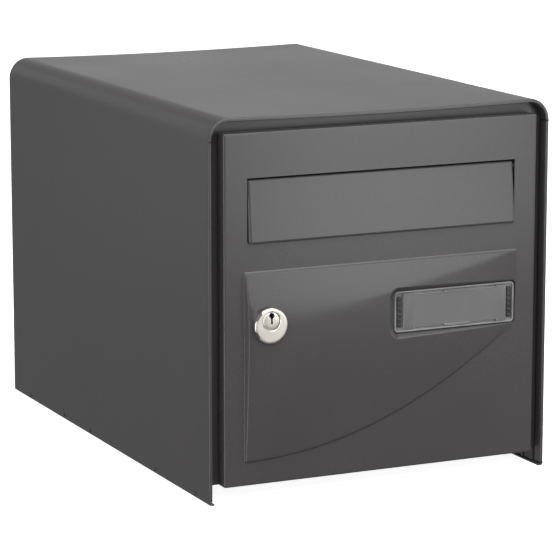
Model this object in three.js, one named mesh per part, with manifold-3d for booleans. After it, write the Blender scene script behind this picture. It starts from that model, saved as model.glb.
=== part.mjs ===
// A wall mounted mailbox: a bent sheet hood over a floor, a front frame and a back panel, with a
// lockable door that carries a mail flap, a cam lock and a name label.
// Millimetres, +Z up, +X right. The front faces -Y and the back lies on the wall plane y = 0.
import * as THREE from 'three';
import { mergeVertices } from 'three/addons/utils/BufferGeometryUtils.js';
import Module from 'manifold-3d';

const wasm = await Module();
wasm.setup();

// ---------------------------------------------------------------- driving dimensions

const WIDTH = 290;
const HEIGHT = 294;
const DEPTH = 426;
const HALF_WIDTH = WIDTH / 2;
const TOP = HEIGHT / 2;
const BOTTOM = -HEIGHT / 2;
const FRONT = -DEPTH;

const SHEET = 1.2; // hood, floor, frame, back and flap
const DOOR_SHEET = 1; // door, guard
const CLEAR = 0.3; // gap between pieces that touch
const OVERLAP = 0.4; // how far joined volumes reach into each other

// hood
const HOOD_CORNER = 17; // outer bend radius between roof and sides
const ROOF_BOW = 1.5; // how far the middle of the roof hangs down
const HOOD_LIP = 4.5; // inward lip along the bottom of each side
const HEM_DEPTH = 9; // folded hem behind the front edge
const HEM_RELIEF = 1.6; // height of the relief cut in the hem, below each corner
const RIVET_Y = [-398, -319, -181, -121, -40];
const RIVET_Z = BOTTOM + 3.5;
const RIVET_RADIUS = 1.2;

// floor, frame and back
const FLOOR_Z = BOTTOM + 12.8; // underside of the floor, level with the bottom of the door
const FRAME_SETBACK = 11.5; // front face of the frame, behind the hood's front edge
const FRAME_RIM = 8; // stiffening rim round the frame's opening, turned back
const OPENING_HALF_WIDTH = 123;
const OPENING_BOTTOM = -124;
const OPENING_TOP = 125;
const OPENING_CORNER = 6;
const BACK_RIM = 13;
const WALL_HOLE = { x: 100, z: 90, radius: 4, stretch: 5 };
const POST_HOLE = { x: 60, y: 60, radius: 4.5 };
const DRAIN_HOLE = { x: 120, y: 160, radius: 3 };

// door, in the door's own frame: y = 0 is its face, x and z as in the whole mailbox
const DOOR_PROUD = 1.5; // how far the door's face stands in front of the hood
const DOOR_HALF_WIDTH = 133.2;
const DOOR_TOP = TOP - 11.7;
const DOOR_DEPTH = 10.5;
const DOOR_CORNER = 1.5;

const SLOT_HALF_WIDTH = 114;
const SLOT_TOP = 101.2;
const SLOT_BOTTOM = 53.2;

// raised field of the door: highest on the left, level with the door on the right
const FIELD_LEFT = -117;
const FIELD_RIGHT = 116;
const FIELD_TOP = 30.6;
const FIELD_BOTTOM = -114.5;
const FIELD_SWEEP = 87.5; // rise of the lower edge from left to right
const FIELD_SWEEP_POWER = 2.1;
const FIELD_HEIGHT = 6.5;
const FIELD_DRAFT = 1.6; // width of the sloping wall along the left edge
const FIELD_FADE_POWER = 1.4;
const FIELD_RISE_POWER = 0.6;
const FIELD_FALL_POWER = 1.1;
const FIELD_COLUMNS = 26;
const FIELD_ROWS = 18;

// hinges of the door
const HINGE_X = DOOR_HALF_WIDTH - 4.5;
const HINGE_Y = 5.5; // behind the door's face
const PIN_RADIUS = 1.7;
const BUSH_RADIUS = 3;
const BUSH_FLANGE = { radius: 4.1, thickness: 0.8 };
const LUG_THICKNESS = 2;
const LUG_RADIUS = 3.2;
const HINGE_NOTCH = 32; // length of the cut in the door's side return at each hinge

// mail flap, in the door's frame
const FLAP_HALF_WIDTH = 112.9;
const FLAP_TOP = 99.9;
const FLAP_BOTTOM = 51.6;
const FLAP_TOP_Y = 1.4;
const FLAP_BOTTOM_Y = -3.2;
const FLAP_AXIS = { y: 6.4, z: 95 };
const ROD_RADIUS = 2;
const ROD_HALF_LENGTH = 118.4;
const ROD_BRACKET_X = 115;

// lock, in the door's frame
const LOCK_X = -98.3;
const LOCK_Z = -10.2;
const PLUG_OFFSET = 3.7; // the plug sits above the middle of the rosette
const ROSETTE = { radius: 13.6, front: -9.8, back: -6.8 };
const BARREL = { radius: 11, front: -6.5, back: 22.3 };
const PLUG_FACE_RADIUS = 6.9;
const PLUG_RADIUS = 5.5;
const CAM = { length: 32, width: 14, front: 22.6, back: 24.8 };
const SCREW_RADIUS = 2;

// name label, in the door's frame
const LABEL_LEFT = 10.1;
const LABEL_RIGHT = 114.9;
const LABEL_BOTTOM = -27.2;
const LABEL_TOP = 4.9;
const POCKET_FLOOR = 3; // depth of the pocket behind the door's face
const POCKET_MARGIN = 0.7;
const POCKET_DRAFT = 2.2; // how far the pocket's walls lean out at the surface

// ---------------------------------------------------------------- materials

const coat = new THREE.MeshStandardMaterial({ color: 0x56575a, roughness: 0.38, metalness: 0.1 });
const zinc = new THREE.MeshStandardMaterial({ color: 0x9fa3a6, roughness: 0.4, metalness: 0.9 });
const nickel = new THREE.MeshStandardMaterial({ color: 0xc4c0b8, roughness: 0.25, metalness: 1 });
const nylon = new THREE.MeshStandardMaterial({ color: 0x2a2b2d, roughness: 0.6, metalness: 0 });
const rubber = new THREE.MeshStandardMaterial({ color: 0x1d1d1e, roughness: 0.9, metalness: 0 });
const smoked = new THREE.MeshStandardMaterial({ color: 0x6f7072, roughness: 0.15, metalness: 0 });
const card = new THREE.MeshStandardMaterial({ color: 0x8a8a8b, roughness: 0.8, metalness: 0 });

// ---------------------------------------------------------------- solids

function solid(geometry) {
  geometry.deleteAttribute('normal');
  geometry.deleteAttribute('uv');
  const merged = mergeVertices(geometry, 1e-4);
  return new wasm.Manifold(new wasm.Mesh({
    numProp: 3,
    vertProperties: new Float32Array(merged.attributes.position.array),
    triVerts: new Uint32Array(merged.index.array),
  }));
}

function mesh(name, shape, material) {
  const cut = shape.getMesh();
  const geometry = new THREE.BufferGeometry();
  geometry.setAttribute('position', new THREE.BufferAttribute(new Float32Array(cut.vertProperties), 3));
  geometry.setIndex(new THREE.BufferAttribute(new Uint32Array(cut.triVerts), 1));
  geometry.computeVertexNormals();
  const node = new THREE.Mesh(geometry, material);
  node.name = name;
  return node;
}

function box(x0, x1, y0, y1, z0, z1) {
  const geometry = new THREE.BoxGeometry(x1 - x0, y1 - y0, z1 - z0);
  return solid(geometry.translate((x0 + x1) / 2, (y0 + y1) / 2, (z0 + z1) / 2));
}

// An outline drawn in x and z, filled from y0 back to y1.
function slabY(outline, y0, y1, steps = 8) {
  const geometry = new THREE.ExtrudeGeometry(outline, {
    depth: y1 - y0,
    bevelEnabled: false,
    curveSegments: steps,
  });
  return solid(geometry.rotateX(Math.PI / 2).translate(0, y1, 0));
}

// An outline drawn in y and z, filled from x0 to x1.
function slabX(points, x0, x1) {
  const outline = new THREE.Shape(points.map(([y, z]) => new THREE.Vector2(y, z)));
  const geometry = new THREE.ExtrudeGeometry(outline, { depth: x1 - x0, bevelEnabled: false });
  const turn = new THREE.Matrix4().makeBasis(
    new THREE.Vector3(0, 1, 0),
    new THREE.Vector3(0, 0, 1),
    new THREE.Vector3(1, 0, 0),
  );
  return solid(geometry.applyMatrix4(turn).translate(x0, 0, 0));
}

function cylinderX(radius, x0, x1, y, z, sides = 20) {
  const geometry = new THREE.CylinderGeometry(radius, radius, x1 - x0, sides);
  return solid(geometry.rotateZ(Math.PI / 2).translate((x0 + x1) / 2, y, z));
}

function cylinderY(radius, y0, y1, x, z, sides = 32) {
  const geometry = new THREE.CylinderGeometry(radius, radius, y1 - y0, sides);
  return solid(geometry.translate(x, (y0 + y1) / 2, z));
}

function cylinderZ(radius, z0, z1, x, y, sides = 20) {
  const geometry = new THREE.CylinderGeometry(radius, radius, z1 - z0, sides);
  return solid(geometry.rotateX(Math.PI / 2).translate(x, y, (z0 + z1) / 2));
}

// Four-sided pocket: a rectangle in x and z at y1 that grows by draft towards y0.
function taperedBox(x0, x1, y0, y1, z0, z1, draft) {
  const geometry = new THREE.BoxGeometry(x1 - x0, y1 - y0, z1 - z0);
  const position = geometry.attributes.position;
  for (let i = 0; i < position.count; i += 1) {
    if (position.getY(i) < 0) {
      position.setX(i, position.getX(i) + Math.sign(position.getX(i)) * draft);
      position.setZ(i, position.getZ(i) + Math.sign(position.getZ(i)) * draft);
    }
  }
  return solid(geometry.translate((x0 + x1) / 2, (y0 + y1) / 2, (z0 + z1) / 2));
}

function roundedRectangle(x0, x1, z0, z1, radius) {
  const outline = new THREE.Shape();
  outline.moveTo(x0 + radius, z0);
  outline.lineTo(x1 - radius, z0);
  outline.absarc(x1 - radius, z0 + radius, radius, -Math.PI / 2, 0);
  outline.lineTo(x1, z1 - radius);
  outline.absarc(x1 - radius, z1 - radius, radius, 0, Math.PI / 2);
  outline.lineTo(x0 + radius, z1);
  outline.absarc(x0 + radius, z1 - radius, radius, Math.PI / 2, Math.PI);
  outline.lineTo(x0, z0 + radius);
  outline.absarc(x0 + radius, z0 + radius, radius, Math.PI, Math.PI * 1.5);
  return outline;
}

// The hood's cross-section, drawn inset by the given distance and cut off at the given height.
function archOutline(inset, floor) {
  const side = HALF_WIDTH - inset;
  const top = TOP - inset;
  const radius = HOOD_CORNER - inset;
  const outline = new THREE.Shape();
  outline.moveTo(-side, floor);
  outline.lineTo(side, floor);
  outline.lineTo(side, top - radius);
  outline.absarc(side - radius, top - radius, radius, 0, Math.PI / 2);
  outline.quadraticCurveTo(0, top - 2 * ROOF_BOW, radius - side, top);
  outline.absarc(radius - side, top - radius, radius, Math.PI / 2, Math.PI);
  outline.lineTo(-side, floor);
  return outline;
}

// ---------------------------------------------------------------- housing

function rivetPlaces() {
  return RIVET_Y.flatMap((y, index) => [
    { name: `hood_rivet_left_${index + 1}`, side: -1, y },
    { name: `hood_rivet_right_${index + 1}`, side: 1, y },
  ]);
}

function rivetHole(place) {
  const inner = place.side * (HALF_WIDTH - 10);
  const outer = place.side * (HALF_WIDTH + 5);
  const radius = RIVET_RADIUS + CLEAR;
  return cylinderX(radius, Math.min(inner, outer), Math.max(inner, outer), place.y, RIVET_Z, 12);
}

function drill(body) {
  return rivetPlaces().reduce((rest, place) => rest.subtract(rivetHole(place)), body);
}

function hood() {
  const below = BOTTOM - 5;
  const outer = slabY(archOutline(0, BOTTOM), FRONT, 0);
  const inner = slabY(archOutline(SHEET, below), FRONT - 1, 1);
  const hem = slabY(archOutline(SHEET - OVERLAP, BOTTOM), FRONT, FRONT + HEM_DEPTH)
    .subtract(slabY(archOutline(2 * SHEET, below), FRONT - 1, FRONT + HEM_DEPTH + 1));
  let body = outer.subtract(inner).add(hem);
  for (const side of [-1, 1]) {
    const edge = side * HALF_WIDTH;
    const lipEnd = side * (HALF_WIDTH - HOOD_LIP);
    body = body.add(box(Math.min(edge, lipEnd), Math.max(edge, lipEnd), FRONT, 0, BOTTOM, BOTTOM + SHEET));
    const reliefTop = TOP - HOOD_CORNER;
    const reliefIn = side * (HALF_WIDTH - SHEET - 3);
    const reliefOut = side * (HALF_WIDTH - SHEET);
    body = body.subtract(box(
      Math.min(reliefIn, reliefOut),
      Math.max(reliefIn, reliefOut),
      FRONT - 1,
      FRONT + HEM_DEPTH + 1,
      reliefTop - HEM_RELIEF,
      reliefTop,
    ));
  }
  return mesh('outer_hood', drill(body), coat);
}

function hoodRivet(place) {
  const head = cylinderX(2, HALF_WIDTH + CLEAR, HALF_WIDTH + CLEAR + 0.4, 0, 0, 16);
  const shank = cylinderX(RIVET_RADIUS, HALF_WIDTH - 3.8, HALF_WIDTH + CLEAR + OVERLAP / 2, 0, 0, 12);
  const tail = cylinderX(2.2, HALF_WIDTH - 3.8, HALF_WIDTH - 3, 0, 0, 16);
  const rivet = mesh(place.name, head.add(shank).add(tail), coat);
  rivet.position.set(0, place.y, RIVET_Z);
  rivet.rotation.z = place.side > 0 ? 0 : Math.PI;
  return rivet;
}

function floorPan() {
  const halfWidth = HALF_WIDTH - SHEET - CLEAR;
  const front = FRONT + FRAME_SETBACK + SHEET + CLEAR;
  const flangeBottom = BOTTOM + SHEET + CLEAR;
  let body = box(-halfWidth, halfWidth, front, 0, FLOOR_Z, FLOOR_Z + SHEET);
  body = body.add(box(-halfWidth, SHEET - halfWidth, front, 0, flangeBottom, FLOOR_Z + OVERLAP));
  body = body.add(box(halfWidth - SHEET, halfWidth, front, 0, flangeBottom, FLOOR_Z + OVERLAP));
  for (const hole of [POST_HOLE, DRAIN_HOLE]) {
    for (const x of [-hole.x, hole.x]) {
      for (const y of [-hole.y, hole.y]) {
        const drillHole = cylinderZ(hole.radius, FLOOR_Z - 5, FLOOR_Z + 5, x, FRONT / 2 + y);
        body = body.subtract(drillHole);
      }
    }
  }
  return mesh('floor_pan', drill(body), coat);
}

function openingOutline(grow) {
  return roundedRectangle(
    -OPENING_HALF_WIDTH - grow,
    OPENING_HALF_WIDTH + grow,
    OPENING_BOTTOM - grow,
    OPENING_TOP + grow,
    OPENING_CORNER + grow,
  );
}

function frontFrame() {
  const front = FRONT + FRAME_SETBACK;
  const face = slabY(archOutline(SHEET + CLEAR, FLOOR_Z), front, front + SHEET);
  const rim = slabY(openingOutline(SHEET), front + OVERLAP, front + SHEET + FRAME_RIM);
  const opening = slabY(openingOutline(0), front - 1, front + SHEET + FRAME_RIM + 1);
  return mesh('front_frame', face.add(rim).subtract(opening), coat);
}

function backPanel() {
  const bottom = FLOOR_Z + SHEET + CLEAR;
  const block = slabY(archOutline(SHEET + CLEAR, bottom), -BACK_RIM, 0);
  const hollow = slabY(archOutline(2 * SHEET + CLEAR, bottom + SHEET), -BACK_RIM - 1, -SHEET);
  let body = block.subtract(hollow);
  const { x: holeX, z: holeZ, radius, stretch } = WALL_HOLE;
  for (const x of [-holeX, holeX]) {
    for (const z of [-holeZ, holeZ]) {
      const keyhole = roundedRectangle(x - radius, x + radius, z - radius, z + radius + stretch, radius);
      body = body.subtract(slabY(keyhole, -BACK_RIM, 1, 5));
    }
  }
  return mesh('back_panel', body, coat);
}

// A lug on the frame that reaches into the door and carries a hinge pin; drawn for the top hinge.
function hingeBracket() {
  const plateX = OPENING_HALF_WIDTH - CLEAR - SHEET - HINGE_X;
  const plateBottom = LUG_THICKNESS + CLEAR - HINGE_NOTCH + 6;
  const tailTop = -12.6;
  const neck = box(plateX, 1.5, -1, 6.8, 0, LUG_THICKNESS);
  const nose = cylinderZ(LUG_RADIUS, 0, LUG_THICKNESS, 0, 0);
  const plate = box(plateX, plateX + SHEET, -1, 6.8, plateBottom, LUG_THICKNESS);
  const tail = box(plateX, plateX + SHEET, 6, 16, plateBottom, tailTop);
  const hole = cylinderZ(PIN_RADIUS + CLEAR, -1, LUG_THICKNESS + 1, 0, 0, 16);
  return neck.add(nose).add(plate).add(tail).subtract(hole);
}

function hingePin() {
  const head = cylinderZ(2.6, -1.8, -CLEAR, 0, 0, 16);
  const shank = cylinderZ(PIN_RADIUS, -1, LUG_THICKNESS + 2.3, 0, 0, 16);
  return head.add(shank);
}

function hingeBush() {
  const flange = cylinderZ(BUSH_FLANGE.radius, 0, BUSH_FLANGE.thickness, 0, 0);
  const sleeve = cylinderZ(BUSH_RADIUS, 0, BUSH_FLANGE.thickness + CLEAR + DOOR_SHEET, 0, 0);
  const bore = cylinderZ(PIN_RADIUS + CLEAR, -1, 5, 0, 0, 16);
  return flange.add(sleeve).subtract(bore);
}

// The bottom hinge mirrors the top one.
function flipped(shape) {
  return shape.scale([1, 1, -1]);
}

const BUSH_BELOW_TOP = DOOR_SHEET + CLEAR + BUSH_FLANGE.thickness;
const LUG_BELOW_TOP = BUSH_BELOW_TOP + CLEAR + LUG_THICKNESS;

function hingePieces(shape, label, material, drop) {
  const upper = mesh(`${label}_upper`, shape, material);
  upper.position.z = DOOR_TOP - drop;
  const lower = mesh(`${label}_lower`, flipped(shape), material);
  lower.position.z = FLOOR_Z + drop;
  for (const piece of [upper, lower]) {
    piece.position.x = HINGE_X;
    piece.position.y = HINGE_Y;
  }
  return [upper, lower];
}

function bumpStop(name, z) {
  const back = DOOR_PROUD + FRAME_SETBACK - CLEAR;
  const stop = mesh(name, cylinderY(3.8, DOOR_DEPTH + CLEAR, back, 0, 0, 24), rubber);
  stop.position.set(4.1 - DOOR_HALF_WIDTH, FRONT - DOOR_PROUD, z);
  return stop;
}

// ---------------------------------------------------------------- door

function fieldBottom(x) {
  const across = Math.max(0, (x - FIELD_LEFT) / (FIELD_RIGHT - FIELD_LEFT));
  return FIELD_BOTTOM + FIELD_SWEEP * across ** FIELD_SWEEP_POWER;
}

function fieldProfile(down) {
  return down ** FIELD_RISE_POWER * (1 - down) ** FIELD_FALL_POWER;
}

const FIELD_PEAK = fieldProfile(FIELD_RISE_POWER / (FIELD_RISE_POWER + FIELD_FALL_POWER));

function fieldHeight(x, down) {
  const across = Math.min(1, (x - FIELD_LEFT) / (FIELD_RIGHT - FIELD_LEFT));
  const fade = 1 - across ** FIELD_FADE_POWER;
  const draft = Math.min(1, (x - FIELD_LEFT) / FIELD_DRAFT);
  return (FIELD_HEIGHT * fade * draft * fieldProfile(down)) / FIELD_PEAK;
}

// A closed block over the raised field. Its front follows the field, sunk by depth and drawn in by
// inset from the left and top edges; its back is flat at the given y.
function fieldBlock(inset, depth, back) {
  const positions = [];
  const left = FIELD_LEFT + inset;
  const columns = [left];
  for (let i = 0; i <= FIELD_COLUMNS; i += 1) {
    columns.push(left + FIELD_DRAFT + ((FIELD_RIGHT - left - FIELD_DRAFT) * i) / FIELD_COLUMNS);
  }
  for (const side of ['front', 'back']) {
    for (const x of columns) {
      const bottom = fieldBottom(x - inset) + inset * 0.4;
      for (let j = 0; j <= FIELD_ROWS; j += 1) {
        const down = (j / FIELD_ROWS) ** 1.6;
        const z = FIELD_TOP - inset - (FIELD_TOP - inset - bottom) * down;
        const front = Math.min(back - 0.2, depth - fieldHeight(x - inset, down));
        positions.push(x, side === 'front' ? front : back, z);
      }
    }
  }
  const rows = FIELD_ROWS + 1;
  const layer = columns.length * rows;
  const triangles = [];
  const quad = (a, b, c, d) => triangles.push(a, b, c, a, c, d);
  for (let i = 0; i < columns.length - 1; i += 1) {
    for (let j = 0; j < FIELD_ROWS; j += 1) {
      const at = i * rows + j;
      quad(at, at + 1, at + rows + 1, at + rows);
      quad(layer + at, layer + at + rows, layer + at + rows + 1, layer + at + 1);
    }
  }
  for (let j = 0; j < FIELD_ROWS; j += 1) {
    const end = (columns.length - 1) * rows + j;
    quad(j, layer + j, layer + j + 1, j + 1);
    quad(end, end + 1, layer + end + 1, layer + end);
  }
  for (let i = 0; i < columns.length - 1; i += 1) {
    const top = i * rows;
    const low = top + FIELD_ROWS;
    quad(top, top + rows, layer + top + rows, layer + top);
    quad(low, layer + low, layer + low + rows, low + rows);
  }
  const geometry = new THREE.BufferGeometry();
  geometry.setAttribute('position', new THREE.Float32BufferAttribute(positions, 3));
  geometry.setIndex(triangles);
  return solid(geometry);
}

function hingeNotch(z0, z1) {
  return box(DOOR_HALF_WIDTH - DOOR_SHEET - 0.5, DOOR_HALF_WIDTH + 1, DOOR_SHEET + 0.4, DOOR_DEPTH + 1, z0, z1);
}

function doorPanel() {
  const outline = roundedRectangle(-DOOR_HALF_WIDTH, DOOR_HALF_WIDTH, FLOOR_Z, DOOR_TOP, DOOR_CORNER);
  const inside = roundedRectangle(
    DOOR_SHEET - DOOR_HALF_WIDTH,
    DOOR_HALF_WIDTH - DOOR_SHEET,
    FLOOR_Z + DOOR_SHEET,
    DOOR_TOP - DOOR_SHEET,
    DOOR_CORNER - DOOR_SHEET / 2,
  );
  const pan = slabY(outline, 0, DOOR_DEPTH, 3).subtract(slabY(inside, DOOR_SHEET, DOOR_DEPTH + 1, 3));
  const raised = fieldBlock(0, 0, DOOR_SHEET / 2);
  const hollow = fieldBlock(DOOR_SHEET, DOOR_SHEET, DOOR_SHEET + 2);
  const x0 = LABEL_LEFT - POCKET_MARGIN;
  const x1 = LABEL_RIGHT + POCKET_MARGIN;
  const z0 = LABEL_BOTTOM - POCKET_MARGIN;
  const z1 = LABEL_TOP + POCKET_MARGIN;
  const t = DOOR_SHEET;
  const cutFront = -FIELD_HEIGHT;
  const tray = taperedBox(x0 - t, x1 + t, cutFront, POCKET_FLOOR + t, z0 - t, z1 + t, POCKET_DRAFT)
    .intersect(raised.add(box(x0 - 9, x1 + 9, t / 2, POCKET_FLOOR + t, z0 - 9, z1 + 9)));
  const pocket = taperedBox(x0, x1, cutFront, POCKET_FLOOR, z0, z1, POCKET_DRAFT);
  let body = pan.add(raised).subtract(hollow).add(tray).subtract(pocket);
  body = body.subtract(box(-SLOT_HALF_WIDTH, SLOT_HALF_WIDTH, -1, DOOR_SHEET + 1, SLOT_BOTTOM, SLOT_TOP));
  body = body.subtract(cylinderY(BARREL.radius + CLEAR, -20, DOOR_SHEET + 5, LOCK_X, LOCK_Z, 40));
  body = body.subtract(hingeNotch(DOOR_TOP - HINGE_NOTCH, DOOR_TOP - DOOR_SHEET));
  body = body.subtract(hingeNotch(FLOOR_Z + DOOR_SHEET, FLOOR_Z + HINGE_NOTCH));
  for (const z of [DOOR_TOP, FLOOR_Z]) {
    body = body.subtract(cylinderZ(BUSH_RADIUS + CLEAR, z - 3, z + 3, HINGE_X, HINGE_Y));
  }
  return mesh('door_panel', body, coat);
}

// A sloping plate behind the slot that lets letters drop but keeps a hand from reaching down.
function mailGuard() {
  const top = SLOT_TOP + 3;
  const t = DOOR_SHEET;
  const front = DOOR_SHEET + CLEAR;
  const foot = slabX([[front, top], [front + t, top], [front + t, top + 14], [front, top + 14]], -112, 112);
  const shelf = slabX([[front, top], [34, top], [34, top + t], [front, top + t]], -112, 112);
  const slope = slabX([[33, top], [46, 62], [47, 62.3], [34, top + t]], -112, 112);
  return mesh('mail_guard', foot.add(shelf).add(slope), coat);
}

function flap() {
  const width = FLAP_HALF_WIDTH;
  const returnEnd = -0.4;
  const lean = (FLAP_TOP_Y - FLAP_BOTTOM_Y) / (FLAP_TOP - FLAP_BOTTOM);
  let body = slabX([
    [FLAP_TOP_Y, FLAP_TOP],
    [FLAP_BOTTOM_Y, FLAP_BOTTOM],
    [returnEnd, FLAP_BOTTOM],
    [returnEnd, FLAP_BOTTOM + SHEET],
    [FLAP_BOTTOM_Y + SHEET * (1 + lean), FLAP_BOTTOM + SHEET],
    [FLAP_TOP_Y + SHEET * (1 - lean), FLAP_TOP - SHEET],
    [8, FLAP_TOP - SHEET],
    [8, FLAP_TOP],
  ], -width, width);
  const inset = SHEET / 2;
  const cheekOutline = [
    [FLAP_TOP_Y + inset, FLAP_TOP - inset],
    [FLAP_BOTTOM_Y + inset, FLAP_BOTTOM + inset],
    [returnEnd - inset, FLAP_BOTTOM + inset],
    [returnEnd, SLOT_BOTTOM + CLEAR],
    [2, SLOT_BOTTOM + 2 * CLEAR],
    [2.4, 80],
    [7.5, 90.5],
    [9.8, 92.6],
    [9.8, 97.6],
    [8.4, FLAP_TOP - inset],
  ];
  for (const x of [-width, width - SHEET]) {
    body = body.add(slabX(cheekOutline, x, x + SHEET));
  }
  const bore = cylinderX(ROD_RADIUS + CLEAR, -width - 1, width + 1, FLAP_AXIS.y, FLAP_AXIS.z);
  return mesh('mail_flap', body.subtract(bore), coat);
}

function flapRod() {
  const rod = cylinderX(ROD_RADIUS, -ROD_HALF_LENGTH, ROD_HALF_LENGTH, 0, 0);
  const node = mesh('flap_rod', rod, zinc);
  node.position.set(0, FLAP_AXIS.y, FLAP_AXIS.z);
  return node;
}

function rodBracket(name, side) {
  const front = DOOR_SHEET + CLEAR - FLAP_AXIS.y;
  const foot = box(0, 10, front, front + SHEET, -7, 7);
  const upright = box(0, SHEET, front, 4.5, -7, 6);
  const bore = cylinderX(ROD_RADIUS + CLEAR, -1, SHEET + 1, 0, 0);
  const node = mesh(name, foot.add(upright).subtract(bore).scale([side, 1, 1]), zinc);
  node.position.set(side * ROD_BRACKET_X, FLAP_AXIS.y, FLAP_AXIS.z);
  return node;
}

function rodClip(name, side) {
  const ring = cylinderX(3.5, 0, 0.8, 0, 0).subtract(cylinderX(ROD_RADIUS + CLEAR, -1, 2, 0, 0));
  const mouth = box(-1, 2, -1, 1, -5, 0);
  const node = mesh(name, ring.subtract(mouth).scale([side, 1, 1]), zinc);
  node.position.set(side * (ROD_BRACKET_X + SHEET + CLEAR), FLAP_AXIS.y, FLAP_AXIS.z);
  return node;
}

// ---------------------------------------------------------------- lock, about the rosette's middle

function rosette() {
  const { radius, front, back } = ROSETTE;
  const profile = [
    [0, front],
    [radius - 1.3, front],
    [radius - 0.4, front + 0.5],
    [radius, front + 1.1],
    [radius, back],
    [0, back],
  ].map(([r, y]) => new THREE.Vector2(r, y));
  let body = solid(new THREE.LatheGeometry(profile, 48));
  for (const angle of [145, 205]) {
    const turn = THREE.MathUtils.degToRad(angle);
    const notch = cylinderY(1.9, front - 1, back + 1, radius * Math.cos(turn), radius * Math.sin(turn), 16);
    body = body.subtract(notch);
  }
  body = body.subtract(cylinderY(PLUG_FACE_RADIUS + CLEAR, front - 1, back + 1, 0, PLUG_OFFSET));
  return mesh('lock_rosette', body, nickel);
}

function barrel() {
  const { radius, front, back } = BARREL;
  const bore = cylinderY(PLUG_RADIUS + CLEAR, front - 1, back + 1, 0, PLUG_OFFSET);
  return mesh('lock_barrel', cylinderY(radius, front, back, 0, 0, 40).subtract(bore), nickel);
}

function lockWasher() {
  const ring = cylinderY(15, -3.9, -3.1, 0, 0, 32);
  return mesh('lock_washer', ring.subtract(cylinderY(BARREL.radius + CLEAR, -6, 0, 0, 0, 40)), zinc);
}

function lockNut() {
  const hexagon = cylinderY(16, -2.8, 2.2, 0, 0, 6);
  return mesh('lock_nut', hexagon.subtract(cylinderY(BARREL.radius + CLEAR, -6, 6, 0, 0, 40)), zinc);
}

// The next three turn together about the plug's axis and are drawn on it.
function plug() {
  const faceFront = ROSETTE.front - 0.2;
  const face = cylinderY(PLUG_FACE_RADIUS, faceFront, ROSETTE.back - 0.1, 0, 0);
  const shank = cylinderY(PLUG_RADIUS, ROSETTE.back - OVERLAP, BARREL.back, 0, 0);
  const keyDepth = faceFront + 9;
  const bow = cylinderY(1.7, faceFront - 1, keyDepth, 0, 2.6, 16);
  const slit = box(-0.65, 0.65, faceFront - 1, keyDepth, -3.4, 2.6);
  const thread = cylinderY(SCREW_RADIUS + CLEAR, BARREL.back - 8, BARREL.back + 1, 0, 0, 16);
  return mesh('lock_plug', face.add(shank).subtract(bow).subtract(slit).subtract(thread), nickel);
}

function cam() {
  const { length, width, front, back } = CAM;
  const hub = cylinderY(width / 2 + 1, front, back, 0, 0, 28);
  const arm = box(-width / 2, width / 2, front, back, 2 - length, 0);
  const tip = box(-width / 2 + 2, width / 2 - 2, front, back, -length, 3 - length);
  const hole = cylinderY(SCREW_RADIUS + CLEAR, front - 1, back + 1, 0, 0, 16);
  return mesh('lock_cam', hub.add(arm).add(tip).subtract(hole), zinc);
}

function camScrew() {
  const shank = cylinderY(SCREW_RADIUS, BARREL.back - 7, CAM.back + 1, 0, 0, 16);
  const head = cylinderY(4, CAM.back + CLEAR, CAM.back + CLEAR + 3, 0, 0, 6);
  return mesh('cam_screw', shank.add(head), zinc);
}

// ---------------------------------------------------------------- name label, in its pocket

function labelOutline(inset, radius) {
  return roundedRectangle(
    LABEL_LEFT + inset,
    LABEL_RIGHT - inset,
    LABEL_BOTTOM + inset,
    LABEL_TOP - inset,
    radius,
  );
}

function labelHolder() {
  const body = slabY(labelOutline(0, 3), 0, POCKET_FLOOR - CLEAR, 4);
  return mesh('label_holder', body.subtract(slabY(labelOutline(1.5, 2), -1, 1.6, 4)), nylon);
}

function labelCard() {
  const side = 8;
  const x0 = LABEL_LEFT + side;
  const x1 = LABEL_RIGHT - side;
  return mesh('label_card', box(x0, x1, 0.9, 1.3, LABEL_BOTTOM + 3, LABEL_TOP - 3), card);
}

function labelWindow() {
  const side = 7.2;
  const x0 = LABEL_LEFT + side;
  const x1 = LABEL_RIGHT - side;
  return mesh('label_window', box(x0, x1, -0.3, 0.6, LABEL_BOTTOM + 1.8, LABEL_TOP - 1.8), smoked);
}

// Ribbed strip at each end of the window, to slide it out by.
function labelGrip(name, x) {
  const ribs = 6;
  const z0 = LABEL_BOTTOM + 4;
  const z1 = LABEL_TOP - 4;
  const pitch = (z1 - z0) / ribs;
  let body = box(-1.9, 1.9, 0.3, 1.3, z0, z1);
  for (let i = 0; i < ribs; i += 1) {
    const z = z0 + pitch * (i + 0.5);
    body = body.add(box(-1.9, 1.9, -0.3, 0.5, z - pitch * 0.28, z + pitch * 0.28));
  }
  const node = mesh(name, body, nylon);
  node.position.x = x;
  return node;
}

// ---------------------------------------------------------------- assembly

const lockTurning = new THREE.Group();
lockTurning.position.z = PLUG_OFFSET;
lockTurning.add(plug(), cam(), camScrew());

const lock = new THREE.Group();
lock.position.set(LOCK_X, 0, LOCK_Z);
lock.add(rosette(), barrel(), lockWasher(), lockNut(), lockTurning);

const label = new THREE.Group();
label.add(labelHolder(), labelCard(), labelWindow());
label.add(labelGrip('label_grip_left', LABEL_LEFT + 4.4));
label.add(labelGrip('label_grip_right', LABEL_RIGHT - 4.4));

const door = new THREE.Group();
door.position.y = FRONT - DOOR_PROUD;
door.add(doorPanel(), mailGuard(), flap(), flapRod(), lock, label);
door.add(rodBracket('rod_bracket_left', -1), rodBracket('rod_bracket_right', 1));
door.add(rodClip('rod_clip_left', -1), rodClip('rod_clip_right', 1));
door.add(...hingePieces(hingeBush(), 'hinge_bush', nylon, BUSH_BELOW_TOP));

const hinges = new THREE.Group();
hinges.position.y = FRONT - DOOR_PROUD;
hinges.add(...hingePieces(hingeBracket(), 'hinge_bracket', zinc, LUG_BELOW_TOP));
hinges.add(...hingePieces(hingePin(), 'hinge_pin', zinc, LUG_BELOW_TOP));

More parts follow.
